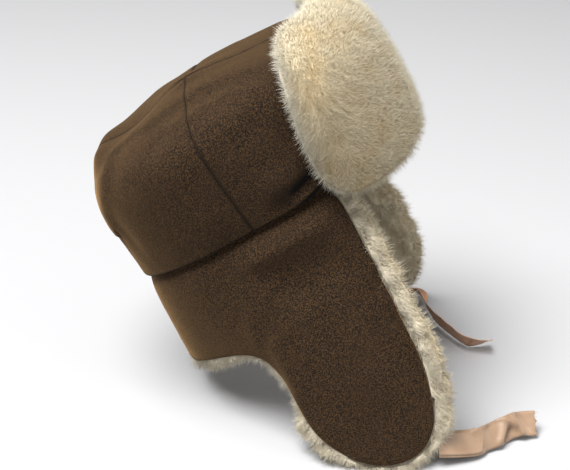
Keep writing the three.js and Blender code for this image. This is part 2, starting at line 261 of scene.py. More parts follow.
def make_cloth_material(name, dark, light, worn):
    """Wool cloth from two yarn colours, with a third for the faint lighter patches. Where the
    attribute seam marks a piece, the cloth is dark and without sheen: at the seams, where its nap
    lies flat, and under the hem, where the darkening is painted shade."""
    material, tree, shader = material_with_shader(name)
    melange = add_node(tree, "ShaderNodeGroup", node_tree=melange_group)
    yarn = mix_colour(tree, melange.outputs["Fleck"], dark, light)
    patch = add_node(tree, "ShaderNodeMapRange", {"Value": melange.outputs["Patch"], **WORN_PATCH})
    faded = mix_colour(tree, patch.outputs[0], yarn, worn)
    # the attribute seam darkens the seams; under the hem, where the cloth faces down, it is painted
    # shade
    seam = add_node(tree, "ShaderNodeAttribute", attribute_name="seam")
    colour = mix_colour(tree, seam.outputs["Fac"], faded, dark)
    nap = add_node(tree, "ShaderNodeMapRange", {"Value": seam.outputs["Fac"], **NAP_SHEEN})
    tree.links.new(nap.outputs[0], shader.inputs["Sheen Weight"])
    bump = add_node(tree, "ShaderNodeBump", {
        "Height": melange.outputs["Height"], "Strength": 0.55, "Distance": 0.5 * MM})
    tree.links.new(colour, shader.inputs["Base Color"])
    tree.links.new(bump.outputs["Normal"], shader.inputs["Normal"])
    shader.inputs["Roughness"].default_value = 0.95
    shader.inputs["Specular IOR Level"].default_value = 0.15
    shader.inputs["Sheen Roughness"].default_value = 0.42
    shader.inputs["Sheen Tint"].default_value = srgb(226, 178, 116)
    return material


cloth_material = make_cloth_material(
    "brown_wool_cloth", dark=srgb(4, 3, 2), light=srgb(66, 47, 28), worn=srgb(42, 30, 18))
print("material", cloth_material.name)

# %% [markdown]
# ## The wool's colour and the ribbon
#
# Sheepskin wool is cream and yellower near the skin. In the hollows between its locks it is
# painted darker and yellower still, as painted shade. Each strand carries attributes that tell how
# far along it a point is, how deep its lock lies and which way the skin below it faces, and the
# material reads them. The strands are shaded partly with the skin's direction, because thousands
# of hairs together catch light like one soft surface.
# The ties are satin ribbon: a fine weave on the ribbon's own flat map. The far tie's copy of the
# satin is darker and browner, as painted shade.


# %% Cream sheepskin
OWN_SHARE = 2.0
YELLOW_PATCH = {"From Min": 0.5, "From Max": 0.72, "To Max": 0.55}
HOLLOW_SHARE = 0.6
RIM_SHARE = 0.65
STRAND_TONES = {"To Min": 0.9, "To Max": 1.05}


def make_fleece_material(name, root, tip, stain_and_hollow_shade, pale_rim):
    """Wool that is deeper in colour at the root of a strand and pale at its tip. It is painted
    darker and yellower in the hollows between locks, as painted shade, yellower in random patches,
    and paler at the rim beside the cloth. The skin's direction is added to OWN_SHARE times the
    strand's own to shade it."""
    material, tree, shader = material_with_shader(name)
    along = add_node(tree, "ShaderNodeAttribute", attribute_name="along")
    tone = add_node(tree, "ShaderNodeAttribute", attribute_name="tone")
    place = add_node(tree, "ShaderNodeTexCoord").outputs["Object"]
    patch = add_node(tree, "ShaderNodeTexNoise", {
        "Vector": place, "Scale": 34.0, "Detail": 3.0, "Roughness": 0.6})
    lift = add_node(tree, "ShaderNodeMapRange", {
        "Value": along.outputs["Fac"], "From Min": 0.1, "From Max": 0.8})
    strand = mix_colour(tree, lift.outputs[0], root, tip)
    yellow = add_node(tree, "ShaderNodeMapRange", {"Value": patch.outputs["Fac"], **YELLOW_PATCH})
    # the hollows between the lumps are painted darker and yellower: painted shade
    hollow = add_node(tree, "ShaderNodeAttribute", attribute_name="hollow")
    deep = reckon(tree, "MULTIPLY_ADD", hollow.outputs["Fac"], HOLLOW_SHARE, yellow.outputs[0],
                  use_clamp=True)
    stained_and_shaded = mix_colour(tree, deep, strand, stain_and_hollow_shade)
    # the wool turns paler near the cloth, as the attribute rim says
    rim = add_node(tree, "ShaderNodeAttribute", attribute_name="rim")
    rim_share = reckon(tree, "MULTIPLY", rim.outputs["Fac"], RIM_SHARE)
    rimmed = mix_colour(tree, rim_share, stained_and_shaded, pale_rim)
    bright = add_node(tree, "ShaderNodeMapRange", {"Value": tone.outputs["Fac"], **STRAND_TONES})
    shade = add_node(tree, "ShaderNodeVectorMath", {
        0: rimmed, "Scale": bright.outputs[0]}, operation="SCALE")
    nap = add_node(tree, "ShaderNodeTexNoise", {
        "Vector": place, "Scale": 700.0, "Detail": 4.0, "Roughness": 0.7})
    skin = add_node(tree, "ShaderNodeAttribute", attribute_name="skin_normal")
    own = add_node(tree, "ShaderNodeNewGeometry")
    soft = add_node(tree, "ShaderNodeVectorMath", {
        0: own.outputs["Normal"], 1: (OWN_SHARE,) * 3, 2: skin.outputs["Vector"]},
        operation="MULTIPLY_ADD")
    facing = add_node(tree, "ShaderNodeVectorMath", {
        0: soft.outputs["Vector"]}, operation="NORMALIZE")
    bump = add_node(tree, "ShaderNodeBump", {
        "Height": nap.outputs["Fac"], "Strength": 0.5, "Distance": 0.8 * MM,
        "Normal": facing.outputs["Vector"]})
    tree.links.new(shade.outputs["Vector"], shader.inputs["Base Color"])
    tree.links.new(bump.outputs["Normal"], shader.inputs["Normal"])
    shader.inputs["Roughness"].default_value = 0.9
    shader.inputs["Specular IOR Level"].default_value = 0.2
    shader.inputs["Sheen Weight"].default_value = 0.25
    shader.inputs["Sheen Roughness"].default_value = 0.5
    return material


visor_fleece_material = make_fleece_material(
    "cream_visor_fleece", root=srgb(180, 166, 137), tip=srgb(190, 182, 159),
    stain_and_hollow_shade=srgb(176, 155, 117), pale_rim=srgb(198, 194, 181))
flap_fleece_material = make_fleece_material(
    "cream_flap_fleece", root=srgb(180, 163, 128), tip=srgb(194, 184, 160),
    stain_and_hollow_shade=srgb(172, 148, 104), pale_rim=srgb(204, 197, 180))
print("materials", visor_fleece_material.name, "and", flap_fleece_material.name)


# %% Satin ribbon
THREAD_PITCH = 0.4 * MM
WEAVE_SHARE = 0.35
WAVE_FACTOR = 20  # Blender's wave texture turns through this many radians for a scale of one


def make_ribbon_material(name, warp, weft):
    """A plain fine weave with a soft shine, on the ribbon's own UV map in metres."""
    material, tree, shader = material_with_shader(name)
    flat = add_node(tree, "ShaderNodeUVMap").outputs["UV"]
    place = add_node(tree, "ShaderNodeTexCoord").outputs["Object"]
    along, across = (add_node(tree, "ShaderNodeTexWave", {
        "Vector": flat, "Scale": 2 * math.pi / (WAVE_FACTOR * THREAD_PITCH), "Distortion": 0.4},
        bands_direction=direction).outputs["Fac"] for direction in ("X", "Y"))
    weave = reckon(tree, "MULTIPLY", along, across)
    shade = add_node(tree, "ShaderNodeTexNoise", {
        "Vector": place, "Scale": 60.0, "Detail": 3.0, "Roughness": 0.55})
    crossed = reckon(tree, "MULTIPLY_ADD", weave, WEAVE_SHARE, shade.outputs["Fac"])
    colour = mix_colour(tree, crossed, warp, weft)
    bump = add_node(tree, "ShaderNodeBump", {
        "Height": weave, "Strength": 0.4, "Distance": 0.1 * MM})
    tree.links.new(colour, shader.inputs["Base Color"])
    tree.links.new(bump.outputs["Normal"], shader.inputs["Normal"])
    shader.inputs["Roughness"].default_value = 0.42
    shader.inputs["Specular IOR Level"].default_value = 0.45
    shader.inputs["Sheen Weight"].default_value = 0.2
    return material


ribbon_material = make_ribbon_material("beige_satin", srgb(112, 84, 62), srgb(150, 124, 98))
# the far ribbon's satin is darker and browner: painted shade for its shaded side
shaded_ribbon_material = make_ribbon_material("painted_shade_satin", srgb(148, 96, 62), srgb(186, 138, 98))
print("materials", ribbon_material.name, "and", shaded_ribbon_material.name)

# %% [markdown]
# ## From a CAD solid to soft cloth
#
# A CAD solid is a closed shape of flat triangles. Cloth starts as a copy of it: the doubled
# corners are merged, pairs of triangles become quads again, and Subdivision Surface rounds the
# result. The folds are then pressed into that fine mesh, each of them a row of a short table.
# Rows in the hat's own axes are easy to read: they stand upright on the tilted hat, and their
# origin is the middle of the join between crown and flaps.

# %% The hat's own axes
WORN_TILT = math.radians(31)
JOIN_MIDDLE = Vector((0, -56.65, -94.29)) * MM
to_hat = Matrix.Rotation(WORN_TILT, 3, "X")
from_hat = to_hat.inverted()


def hat_place(point):
    """A point of the frame in the hat's own axes, in millimetres."""
    return to_hat @ (point - JOIN_MIDDLE) / MM


print("the join's middle is", [round(v / MM, 1) for v in JOIN_MIDDLE], "mm from the origin")

# %% Copies of solids
MERGE_DISTANCE = 0.01 * MM
QUAD_FLATNESS = math.radians(70)
QUAD_SQUARENESS = math.radians(80)
SHARP_ANGLE = math.radians(50)


def apply_modifiers(piece):
    """Replaces a piece's mesh by what its modifiers make of it."""
    bpy.context.view_layer.update()
    seen = piece.evaluated_get(bpy.context.evaluated_depsgraph_get())
    mesh = bpy.data.meshes.new_from_object(seen)
    piece.modifiers.clear()
    piece.data = mesh
    return piece


def soft_copy(node, name, levels, edge_hold=0):
    """A new piece with a CAD node's shape, in quads and subdivided. Its edges round off fully
    with an edge_hold of 0 and stay sharp with 1."""
    bm = bmesh.new()
    bm.from_mesh(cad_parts[node].data)
    bmesh.ops.remove_doubles(bm, verts=bm.verts, dist=MERGE_DISTANCE)
    bmesh.ops.join_triangles(bm, faces=bm.faces, angle_face_threshold=QUAD_FLATNESS,
                             angle_shape_threshold=QUAD_SQUARENESS)
    crease = bm.edges.layers.float.new("crease_edge")
    for edge in bm.edges:
        if edge.calc_face_angle(0) > SHARP_ANGLE:
            edge[crease] = edge_hold
    mesh = mesh_from(bm, name)
    mesh.materials.clear()
    piece = link(bpy.data.objects.new(name, mesh))
    smooth = piece.modifiers.new("smooth", "SUBSURF")
    smooth.levels = levels
    smooth.render_levels = levels
    apply_modifiers(piece)
    piece.data.shade_smooth()
    return piece


def finish_piece(piece, material, slot, *nodes):
    """Gives a piece its material and its place in the frame. The slot is not used."""
    piece.data.materials.clear()
    piece.data.materials.append(material)
    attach(piece, "root")
    if nodes:
        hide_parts(*nodes)
    piece.data.calc_loop_triangles()
    print(piece.name, len(piece.data.loop_triangles), "triangles")


# %% Folds
FOLD_REACH = 3  # times a fold's width
FOLD_STARTS = (-0.1, 0.3)  # as shares of a fold's length
FOLD_ENDS = (0.7, 1.1)


def fade(value, start, end):
    """0 before start, 1 past end and smooth between."""
    share = min(max((value - start) / (end - start), 0), 1)
    return share * share * (3 - 2 * share)


def along_line(point, start, end):
    """How far a point is from a line between two points, and where along it, from 0 to 1."""
    run = end - start
    share = (point - start).dot(run) / run.length_squared
    nearest = start + run * min(max(share, 0), 1)
    return (point - nearest).length, share


def fold_height(point, folds):
    """The height in millimetres that a table of folds gives at a point of the hat's axes. A row
    is a fold's start, end, width and height, and a fold fades out at both ends."""
    height = 0
    for start, end, width, rise in folds:
        distance, share = along_line(point, start, end)
        if distance < FOLD_REACH * width:
            ends = fade(share, *FOLD_STARTS) * (1 - fade(share, *FOLD_ENDS))
            height += rise * ends * math.exp(-(distance / width) ** 2)
    return height


def ripple(point, size, height, seed):
    """Gentle unevenness: the height in millimetres at a point, from smooth noise."""
    return height * noise.noise(point / size + Vector((seed, 2 * seed, 0)))


def fold_table(rows):
    """Folds from rows of start, end, width and height, in millimetres."""
    return [(Vector(start), Vector(end), width, rise) for start, end, width, rise in rows]


sample_fold = fold_table([((0, 0, 0), (40, 0, 0), 5, 2)])
print("a fold 2 mm high stands", [round(fold_height(Vector((20, y, 0)), sample_fold), 2)
                                  for y in (0, 5, 10)], "mm out at 0, 5 and 10 mm from its line")

# %% [markdown]
# ## The crown
#
# Four panels of cloth meet at a seam from front to back and at one across. Thread draws the cloth
# in along a seam, so it lies in a shallow groove with small puckers beside it. A soft crease
# runs where the flat top turns into the side. These could be sculpted by hand or left to a
# cloth simulation, but rows of folds in a table give the same cloth every time and can be read.

# %% The crown's folds
CROWN_ROUNDNESS = (90, 118, 105)
CROWN_RIPPLES = [
    # size, height and seed
    (34, 1.1, 3),
    (13, 0.35, 8),
]
SEAM_ACROSS = {"depth": 0.7, "width": 2.0}
TOP_SEAM = {"shallower": 0.85, "half_width": 12, "from_z": 80, "to_z": 100}
PUCKER = {"height": 0.35, "reach": 6, "length": 8}
TOP_CREASE = [Vector(point) for point in (
    # the edge between the crown's flat top and its side, from the front over the top and down
    # the back, in the hat's axes and mirrored for the left
    (-56, -104, 98), (-50, -76, 106), (-46, -64, 107), (-41, -51, 108), (-35, -36, 109),
    (-31, -19, 110), (-31, 3, 110), (-33, 25, 108), (-33, 40, 106), (-29, 55, 104),
    (-28, 68, 101), (-34, 79, 98), (-48, 84, 94), (-55, 91, 85), (-52, 102, 72), (-50, 108, 55))]
CREASE = {"height": 3.2, "inside": 24, "outside": 9, "above": 40, "side_fades": (-30, 10)}
CROWN_FOLDS = fold_table([
    # start, end, width and height in the hat's axes
    ((-64, 30, 103), (-58, -50, 105), 8, 1.3),
    ((-88, 12, 40), (-60, 20, 92), 7, 0.8),
    ((-34, 88, 97), (44, 88, 97), 13, 5.5),
    ((4, -46, 110), (4, 46, 110), 16, 2.5),
    ((-92, -16, 30), (-84, -88, 36), 14, 4.2),
    ((-87, -36, 7), (-80, -64, 13), 2.6, 2.6),
    ((-88, -40, 15), (-81, -64, 21), 4, -2.2),
    ((-92, -6, 76), (-84, -64, 82), 11, -2.6),
    ((-60, 12, 104), (-78, 44, 88), 10, -2.2),
    ((88, -20, 30), (70, 10, 90), 9, -0.9),
    ((-62, 96, 20), (-56, 96, 66), 9, -1.2),
    ((40, 110, 20), (20, 96, 84), 10, -0.9),
])
print("the crown has", len(CROWN_FOLDS), "folds and a top crease of", len(TOP_CREASE), "points")


# %% The crown's form
def crease_height(place):
    """How far the crown's top crease stands out at a place in the hat's axes. The photo shows it
    on the wearer's right, and it fades out towards the left."""
    mirrored = Vector((-abs(place.x), place.y, place.z))
    nearest, line_x = math.inf, 0
    for start, end in zip(TOP_CREASE, TOP_CREASE[1:]):
        distance, share = along_line(mirrored, start, end)
        if distance < nearest:
            nearest, line_x = distance, start.x + min(max(share, 0), 1) * (end.x - start.x)
    width = CREASE["outside"] if mirrored.x < line_x else CREASE["inside"]
    side = fade(-place.x, *CREASE["side_fades"])
    return side * CREASE["height"] * math.exp(-(nearest / width) ** 2)


def crown_height(place):
    """How far the crown's cloth stands out at a place in the hat's axes."""
    height = fold_height(place, CROWN_FOLDS)
    for size, rise, seed in CROWN_RIPPLES:
        height += ripple(place, size, rise, seed)
    if place.z > CREASE["above"]:
        height += crease_height(place)
    across = abs(place.y)
    top = math.exp(-(place.x / TOP_SEAM["half_width"]) ** 2)
    depth = 1 - TOP_SEAM["shallower"] * top * fade(place.z, TOP_SEAM["from_z"], TOP_SEAM["to_z"])
    height -= depth * SEAM_ACROSS["depth"] * math.exp(-(across / SEAM_ACROSS["width"]) ** 2)
    if across < FOLD_REACH * PUCKER["reach"]:
        lane = Vector((place.x / PUCKER["length"], place.z / PUCKER["length"], 5))
        height += PUCKER["height"] * noise.noise(lane) * math.exp(-(across / PUCKER["reach"]) ** 2)
    return height


for name, y in (("at the seam", 0), ("beside it", -12)):
    print(name, "the crown's cloth moves out by", round(crown_height(Vector((-90, y, 40))), 2), "mm")


# %% Pressing folds in
def press(piece, height_at, roundness):
    """Moves each point of a piece out from the hat's middle by a height in millimetres. The
    roundness, as half axes of an ellipsoid, gives the way out, and both sides of the cloth
    move alike."""
    for vertex in piece.data.vertices:
        place = hat_place(vertex.co)
        outward = Vector([value / axis ** 2 for value, axis in zip(place, roundness)]).normalized()
        vertex.co += from_hat @ outward * height_at(place) * MM
    piece.data.update()


# %% Seams
CLOSED_SHARE = 0.3
SEAM_CLOSED_WITHIN = 3
TIPS_CLOSED_WITHIN = 7
TIPS_ABOVE = 95
SEAM_MARK = {"amount": 0.8, "width": 0.8}
# painted shade under the hem: cloth that faces down is darkened, fading in between these slopes
HEM_PAINTED_SHADE = {"below": 30, "facing_down": (0.1, 0.5)}


def draw_in(distance, within):
    """The share of its distance that a point keeps when the gap in the middle is drawn closed."""
    return CLOSED_SHARE + (1 - CLOSED_SHARE) * min(distance / within, 1)


def close_seam(piece):
    """Draws the panels together at the seam from front to back, and their tips at the top."""
    for vertex in piece.data.vertices:
        place = hat_place(vertex.co)
        place.x *= draw_in(abs(place.x), SEAM_CLOSED_WITHIN)
        if place.z > TIPS_ABOVE:
            kept = draw_in(Vector((place.x, place.y)).length, TIPS_CLOSED_WITHIN)
            place.x *= kept
            place.y *= kept
        vertex.co = JOIN_MIDDLE + from_hat @ place * MM
    piece.data.update()


def mark_seams_and_painted_shade(piece):
    """Marks the crown's two seams, where the nap is pressed flat, and paints shade under the hem,
    where the cloth faces down.
    """
    seam = piece.data.attributes.new("seam", "FLOAT", "POINT")
    for vertex in piece.data.vertices:
        place = hat_place(vertex.co)
        across = min(abs(place.x), abs(place.y))
        amount = SEAM_MARK["amount"] * math.exp(-(across / SEAM_MARK["width"]) ** 2)
        # cloth under the hem that faces down gets painted shade
        if place.z < HEM_PAINTED_SHADE["below"]:
            amount = max(amount, fade(-(to_hat @ vertex.normal).z, *HEM_PAINTED_SHADE["facing_down"]))
        seam.data[vertex.index].value = amount


print("a point 1 mm from the seam keeps", round(draw_in(1, SEAM_CLOSED_WITHIN), 2), "of that")

# %% Crown panels
for node in ("crown_front_right", "crown_front_left", "crown_back_right", "crown_back_left"):
    levels = 3 if node.endswith("right") else 2  # the photographed side is the finer one
    panel = soft_copy(node, node + "_cloth", levels, edge_hold=1)
    close_seam(panel)
    press(panel, crown_height, CROWN_ROUNDNESS)
    mark_seams_and_painted_shade(panel)
    finish_piece(panel, cloth_material, "cloth", node)

# %% [markdown]
# ## The flap panel
#
# One panel of the same cloth hangs from under the crown and ends in the two ear flaps. It is
# tucked in at the top, where it is sewn under the crown, and bulges just below. It is pulled
# where the nape turns into a flap, so soft folds run out from that corner. They are made in the
# same way as the crown's, and one table serves both sides.

# %% Flap panel
FLAP_FOLDS = fold_table([
    # start, end, width and height for the wearer's right, mirrored for the left
    ((-92, 34, -12), (-90, -74, -12), 10, 9.0),
    ((-100, 14, -42), (-98, -60, -52), 16, -6.0),
    ((-103, 48, -86), (-112, 0, -68), 5, 2.2),
    ((-104, 44, -94), (-120, -4, -100), 6, 1.8),
    ((-100, 50, -84), (-98, 34, -36), 7, 1.8),
    ((-92, -80, -60), (-108, -22, -76), 5, 2.4),
    ((-94, -78, -72), (-110, -30, -87), 5, -2.4),
    ((-98, -78, -92), (-113, -26, -100), 5, 2.2),
    ((-100, -76, -103), (-114, -36, -108), 4.5, -2.0),
    ((-124, 14, -128), (-128, -40, -150), 18, 2.4),
])
TUCK = {"depth": 2.0, "from_z": -7, "to_z": 2}
FLAP_RIPPLES = [(40, 1.3, 5), (15, 0.4, 9)]
FLAP_ROUNDNESS = (90, 118, 600)


def flap_height(place):
    """How far the flap's cloth stands out at a place in the hat's axes."""
    mirrored = Vector((-abs(place.x), place.y, place.z))
    height = fold_height(mirrored, FLAP_FOLDS)
    height -= TUCK["depth"] * fade(place.z, TUCK["from_z"], TUCK["to_z"])
    for size, rise, seed in FLAP_RIPPLES:
        height += ripple(place, size, rise, seed)
    return height


flap_cloth = soft_copy("flap_cloth", "flap_panel_cloth", 2, edge_hold=0.6)
press(flap_cloth, flap_height, FLAP_ROUNDNESS)
finish_piece(flap_cloth, cloth_material, "cloth", "flap_cloth")

# %% [markdown]
# ## The visor's cloth back
#
# A plain panel of the cloth backs the visor. It hardly shows between the crown and the wool, so
# the smooth CAD form with rounded edges is enough.

# %% Visor back
visor_back = soft_copy("visor_cloth", "visor_back_cloth", 2)
finish_piece(visor_back, cloth_material, "cloth", "visor_cloth")

# %% [markdown]
# ## Sheepskin
#
# Sheepskin is a skin with dense wool on one side. Blender's hair curves could make it, but a
# reusable part needs plain meshes. Two things make it here: a soft body that lies a few
# millimetres under the wool's outer form, and many thin tapered strands that grow from it.
# Geometry Nodes scatters the strands and leans them together in small locks. A strand has only
# 4 triangles, or 11 where it bends, so that many fit in.


# %% One strand
BENT_SECTIONS = [
    # rise, side and width as shares of the length, of the curl and of the full width
    (0.0, 0.0, 1.0),
    (0.5, 0.35, 0.85),
]
STRAIGHT_SECTIONS = [(0.0, 0.0, 1.0)]


def make_strand(name, sections, length, width, curl):
    """A three-sided tapered strand that stands on the origin along z and bends to one side."""
    bm = bmesh.new()
    along = bm.verts.layers.float.new("along")
    bmesh.ops.create_circle(bm, cap_ends=True, segments=3, radius=width / 2)
    bmesh.ops.reverse_faces(bm, faces=bm.faces)
    bm.faces.ensure_lookup_table()
    ring = bm.faces[0]
    rise, side, size = sections[0]
    for next_rise, next_side, next_size in sections[1:] + [(1.0, 1.0, 0.0)]:
        grown = bmesh.ops.extrude_face_region(bm, geom=[ring], use_keep_orig=rise == 0)
        points = [item for item in grown["geom"] if isinstance(item, bmesh.types.BMVert)]
        ring = [item for item in grown["geom"] if isinstance(item, bmesh.types.BMFace)][0]
        step = Vector((curl * (next_side - side), 0, length * (next_rise - rise)))
        bmesh.ops.translate(bm, verts=points, vec=step)
        middle = Matrix.Translation((-curl * next_side, 0, -length * next_rise))
        bmesh.ops.scale(bm, verts=points, vec=[max(next_size / size, 0.01)] * 3, space=middle)
        for point in points:
            point[along] = next_rise
        rise, side, size = next_rise, next_side, next_size
    bmesh.ops.pointmerge(bm, verts=points, merge_co=Vector((curl, 0, length)))
    bmesh.ops.recalc_face_normals(bm, faces=bm.faces)
    bmesh.ops.triangulate(bm, faces=bm.faces)
    mesh = mesh_from(bm, name)
    mesh.shade_smooth()
    return bpy.data.objects.new(name, mesh)


STRAND_LENGTH = 8 * MM
STRAND_WIDTH = 0.32 * MM
STRAND_KINDS = [
    # sections and curl in millimetres
    (BENT_SECTIONS, 1.4),
    (STRAIGHT_SECTIONS, 0.3),
    (STRAIGHT_SECTIONS, 0.8),
    (STRAIGHT_SECTIONS, -0.6),
    (STRAIGHT_SECTIONS, 1.2),
]
strand_kinds = bpy.data.collections.new("strand_kinds")
for number, (sections, curl) in enumerate(STRAND_KINDS):
    strand = make_strand(f"strand_{number}", sections, STRAND_LENGTH, STRAND_WIDTH, curl * MM)
    strand_kinds.objects.link(strand)
    print(strand.name, len(strand.data.polygons), "triangles")


# %% Growing wool with Geometry Nodes
STRAND_JITTER = 0.35
STRAND_SIZES = {"To Min": 0.45, "To Max": 1.15}
FEW_LONG = 2.5
SWAY_SCALE = 45.0


def make_wool_tree(name, growth, density, lock_size, lock_pull, sway, seed):
    """A node tree that grows strands where a skin's attribute of growth lets them. A strand
    leans along the skin's normal plus a pull to its lock's middle, a slow sway, a small random
    lean and the way that the skin is combed."""
    tree, given, result = new_group(
        name, [("Skin", "NodeSocketGeometry", None)], [("Wool", "NodeSocketGeometry")],
        kind="GeometryNodeTree")
    allowed = add_node(tree, "GeometryNodeInputNamedAttribute", {"Name": growth}, data_type="FLOAT")
    amount = reckon(tree, "MULTIPLY", allowed.outputs["Attribute"], density)
    scatter = add_node(tree, "GeometryNodeDistributePointsOnFaces", {
        "Mesh": given.outputs["Skin"], "Density": amount, "Seed": seed})
    place = add_node(tree, "GeometryNodeInputPosition").outputs["Position"]
    locks = add_node(tree, "ShaderNodeTexVoronoi", {"Vector": place, "Scale": 1 / lock_size})
    to_centre = add_node(tree, "ShaderNodeVectorMath", {
        0: locks.outputs["Position"], 1: place}, operation="SUBTRACT")
    pull = add_node(tree, "ShaderNodeVectorMath", {
        0: to_centre.outputs["Vector"], "Scale": lock_pull / STRAND_LENGTH}, operation="SCALE")
    drift = add_node(tree, "ShaderNodeTexNoise", {
        "Vector": place, "Scale": SWAY_SCALE, "Detail": 2.0})
    centred = add_node(tree, "ShaderNodeVectorMath", {
        0: drift.outputs["Color"], 1: (0.5, 0.5, 0.5)}, operation="SUBTRACT")
    swayed = add_node(tree, "ShaderNodeVectorMath", {
        0: centred.outputs["Vector"], "Scale": sway}, operation="SCALE")
    random_lean = add_node(tree, "FunctionNodeRandomValue", {
        "Min": (-STRAND_JITTER,) * 3, "Max": (STRAND_JITTER,) * 3, "Seed": seed + 1},
        data_type="FLOAT_VECTOR")
    comb = add_node(tree, "GeometryNodeInputNamedAttribute", {
        "Name": "comb"}, data_type="FLOAT_VECTOR")
    lean = pull.outputs["Vector"]
    for more in (swayed.outputs["Vector"], random_lean.outputs["Value"], comb.outputs["Attribute"],
                 scatter.outputs["Normal"]):
        leaning = add_node(tree, "ShaderNodeVectorMath", {0: lean, 1: more}, operation="ADD")
        lean = leaning.outputs["Vector"]
    upright = add_node(tree, "FunctionNodeAlignRotationToVector", {"Vector": lean}, axis="Z")
    turn = add_node(tree, "FunctionNodeRandomValue", {
        "Min": (0, 0, 0), "Max": (0, 0, 2 * math.pi), "Seed": seed + 2}, data_type="FLOAT_VECTOR")
    turned = add_node(tree, "FunctionNodeRotateRotation", {
        "Rotation": upright.outputs["Rotation"], "Rotate By": turn.outputs["Value"]},
        rotation_space="LOCAL")
    draw = add_node(tree, "FunctionNodeRandomValue", {"Seed": seed + 3}, data_type="FLOAT")
    few_long = reckon(tree, "POWER", draw.outputs[1], FEW_LONG)
    size = add_node(tree, "ShaderNodeMapRange", {"Value": few_long, **STRAND_SIZES})
    kinds = add_node(tree, "GeometryNodeCollectionInfo", {
        "Collection": strand_kinds, "Separate Children": True, "Reset Children": True})
    marked = add_node(tree, "GeometryNodeStoreNamedAttribute", {
        "Geometry": scatter.outputs["Points"], "Name": "skin_normal",
        "Value": scatter.outputs["Normal"]}, data_type="FLOAT_VECTOR", domain="POINT")
    grow = add_node(tree, "GeometryNodeInstanceOnPoints", {
        "Points": marked.outputs["Geometry"], "Instance": kinds.outputs["Instances"],
        "Pick Instance": True, "Rotation": turned.outputs["Rotation"], "Scale": size.outputs[0]})
    tone = add_node(tree, "FunctionNodeRandomValue", {"Seed": seed + 4}, data_type="FLOAT")
    toned = add_node(tree, "GeometryNodeStoreNamedAttribute", {
        "Geometry": grow.outputs["Instances"], "Name": "tone", "Value": tone.outputs[1]},
        data_type="FLOAT", domain="INSTANCE")
    plain = add_node(tree, "GeometryNodeRealizeInstances", {"Geometry": toned.outputs["Geometry"]})
    tree.links.new(plain.outputs["Geometry"], result.inputs["Wool"])
    return tree


def grow_wool(name, skin, **settings):
    """Two new pieces of strands that grow on a skin, which stays as it is: one for the wearer's
    right and one for the left, so that neither is too heavy."""
    pieces = []
    for side in ("right", "left"):
        wool = link(bpy.data.objects.new(f"{name}_{side}", skin.data.copy()))
        grower = wool.modifiers.new("grow", "NODES")
        grower.node_group = make_wool_tree(f"{name}_{side}_tree", "growth_" + side, **settings)
        pieces.append(apply_modifiers(wool))
    return pieces


print("a strand is", *(round(STRAND_LENGTH / MM * size, 1) for size in STRAND_SIZES.values()),
      "mm long at the shortest and the longest")

# %% [markdown]
# ### Where wool grows, and how deep the body lies
#
# Wool grows only on the open side of a skin. The distance to the cloth that covers it tells where
# that is: no strand grows within a few millimetres of cloth. The body is drawn in by the depth of
# the strands where they grow, so that their tips reach the CAD solid's surface.


# %% Preparing a skin
def surface_of(*names):
    """A tree for finding the nearest point on some CAD nodes."""
    bm = bmesh.new()
    for name in names:
        bm.from_mesh(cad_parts[name].data)
    found = BVHTree.FromBMesh(bm)
    bm.free()
    return found


COVERED_WITHIN = 5 * MM
COVERED_DRAW_IN = 6.5  # this and the next two are in millimetres
HALVES_MEET = 4
RIM_FADES = (6, 24)
INSIDE_FADES = (0.6, 0.95)  # from facing sideways to facing the hat's middle
HOLLOW_GAIN = 1.5
SMALL_LUMPS = {"size": 2.3, "height": 2}
LUMP_SEEDS = (4, 6)
MARKS = ("growth_right", "growth_left", "hollow", "rim")


def prepare_skin(piece, cover, bare_within, full_from, depth, lump, comb, inside_share):
    """Draws a fleece body in under its wool, and marks how much wool grows at each point and
    which way it is combed: away from the cloth, and down. Inside the hat it grows thinner."""
    for name in MARKS:
        piece.data.attributes.new(name, "FLOAT", "POINT")
    piece.data.attributes.new("comb", "FLOAT_VECTOR", "POINT")
    # a new attribute can move the others in memory, so they are fetched when all are there
    growth_right, growth_left, hollow, rim, combed = (
        piece.data.attributes[name] for name in (*MARKS, "comb"))
    moves = []
    for vertex in piece.data.vertices:
        nearest, _, _, distance = cover.find_nearest(vertex.co)
        amount = fade(distance / MM, bare_within, full_from)
        covered = cover.ray_cast(vertex.co, vertex.normal, COVERED_WITHIN)[0] is not None
        if covered:
            amount = 0
        place = hat_place(vertex.co)
        away = (vertex.co - nearest).normalized()
        inward = -away.dot((from_hat @ Vector((place.x, place.y, 0))).normalized())
        thinned = 1 - (1 - inside_share) * fade(inward, *INSIDE_FADES)
        lumps = ripple(place, lump["size"], lump["height"], LUMP_SEEDS[0])
        lumps += ripple(place, lump["size"] / SMALL_LUMPS["size"],
                        lump["height"] / SMALL_LUMPS["height"], LUMP_SEEDS[1])
        left_share = fade(place.x, -HALVES_MEET, HALVES_MEET)
        growth_right.data[vertex.index].value = amount * thinned * (1 - left_share)
        growth_left.data[vertex.index].value = amount * thinned * left_share
        # hollow: how far a lump dips, where the wool's colour is darkened as painted shade
        hollow.data[vertex.index].value = min(max(-HOLLOW_GAIN * lumps / lump["height"], 0), 1)
        rim.data[vertex.index].value = 1 - fade(distance / MM, *RIM_FADES)
        combed.data[vertex.index].vector = away * comb["away"] + Vector((0, 0, -comb["down"]))
        outward = -COVERED_DRAW_IN if covered else amount * (lumps - depth)
        moves.append(vertex.normal * outward * MM)
    for vertex, move in zip(piece.data.vertices, moves):
        vertex.co += move
    piece.data.update()


FLOOR_CLEARANCE = 0.4 * MM
FLATTENED_TO = 0.02


